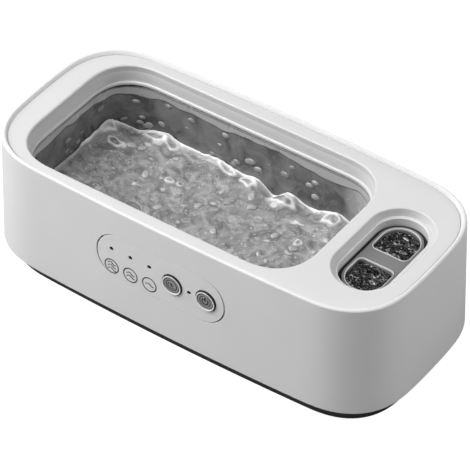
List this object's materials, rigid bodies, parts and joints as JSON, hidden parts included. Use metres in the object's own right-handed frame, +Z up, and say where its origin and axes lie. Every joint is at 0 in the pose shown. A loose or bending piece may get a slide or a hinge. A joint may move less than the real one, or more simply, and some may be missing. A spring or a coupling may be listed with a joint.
{
  "type": "ultrasonic cleaner",
  "caption": "Desktop ultrasonic cleaner with a rounded white body, a steel bath, a lift-out divided lens cup beside it, push buttons on the front and a dark recessed base.",
  "frame": {"origin": "on the surface that the feet stand on, under the middle of the body", "axes": "+Z up; the control panel faces -Y; +X along the length, towards the lens cup"},
  "size_m": [0.211, 0.0996, 0.067],
  "materials": {
    "white_plastic": "satin moulded",
    "stainless_steel": "drawn and brushed",
    "screw_steel": "plain bright",
    "grey_cup_plastic": "satin moulded",
    "dark_button_metal": "dark anodised, turned rings",
    "dark_base_plastic": "fine matt texture",
    "black_plastic": "satin",
    "black_silicone": "matt",
    "foot_rubber": "matt",
    "piezo_ceramic": "silvered faces",
    "circuit_board": "solder mask",
    "smoked_light_pipe": "polished",
    "lamp_resin": "clear resin",
    "copper_winding": "enamelled copper wire",
    "ferrite": "matt",
    "capacitor_sleeve": "shrink sleeve",
    "aluminium": "plain",
    "brass": "plain",
    "lead_sleeve_red": "insulated lead",
    "lead_sleeve_grey": "insulated lead"
  },
  "bodies": {
    "root": {"outer_housing": "white_plastic", "top_deck": "white_plastic", "control_panel": "white_plastic", "bath_liner": "stainless_steel", "bath_gasket": "black_silicone", "cup_seal": "black_silicone", "cup_socket": "black_plastic", "cup_transducer": "piezo_ceramic", "bath_transducer": "piezo_ceramic", "power_switch": "black_plastic", "timer_switch": "black_plastic", "control_board": "circuit_board", "control_chip": "black_plastic", "base_tray": "dark_base_plastic", "main_board": "circuit_board", "transformer_core": "ferrite", "transformer_coil": "copper_winding", "tuning_coil": "copper_winding", "storage_capacitor": "capacitor_sleeve", "filter_capacitor": "capacitor_sleeve", "heat_sink": "aluminium", "driver_transistor": "black_plastic", "power_inlet": "black_plastic", "inlet_pin": "brass", "transducer_lead": "lead_sleeve_red", "cup_transducer_lead": "lead_sleeve_red", "inlet_lead": "lead_sleeve_red", "control_lead": "lead_sleeve_grey", "bath_clamp_1": "stainless_steel", "clamp_screw_1": "screw_steel", "indicator_lens_1": "smoked_light_pipe", "indicator_lamp_1": "lamp_resin", "foot_1": "foot_rubber", "base_screw_1": "screw_steel", "bath_clamp_2": "stainless_steel", "clamp_screw_2": "screw_steel", "indicator_lens_2": "smoked_light_pipe", "indicator_lamp_2": "lamp_resin", "foot_2": "foot_rubber", "base_screw_2": "screw_steel", "bath_clamp_3": "stainless_steel", "clamp_screw_3": "screw_steel", "indicator_lens_3": "smoked_light_pipe", "indicator_lamp_3": "lamp_resin", "foot_3": "foot_rubber", "base_screw_3": "screw_steel", "bath_clamp_4": "stainless_steel", "clamp_screw_4": "screw_steel", "indicator_lens_4": "smoked_light_pipe", "indicator_lamp_4": "lamp_resin", "foot_4": "foot_rubber", "base_screw_4": "screw_steel", "board_screw_1": "screw_steel", "board_screw_2": "screw_steel"},
    "lens_cup": {"lens_cup": "grey_cup_plastic"},
    "power_button": {"power_button": "dark_button_metal", "power_plunger": "black_plastic"},
    "timer_button": {"timer_button": "dark_button_metal", "timer_plunger": "black_plastic"}
  },
  "joints": [
    {"name": "power_button_press", "type": "slide", "parent": "root", "child": "power_button", "axis": [0, 1, 0], "range_m": [0, 0.0007], "stiffness_N_per_m": 900, "springref_m": -0.0004},
    {"name": "timer_button_press", "type": "slide", "parent": "root", "child": "timer_button", "axis": [0, 1, 0], "range_m": [0, 0.0007], "stiffness_N_per_m": 900, "springref_m": -0.0004},
    {"name": "lens_cup_lift", "type": "slide", "parent": "root", "child": "lens_cup", "axis": [0, 0, 1], "range_m": [0, 0.03]}
  ]
}
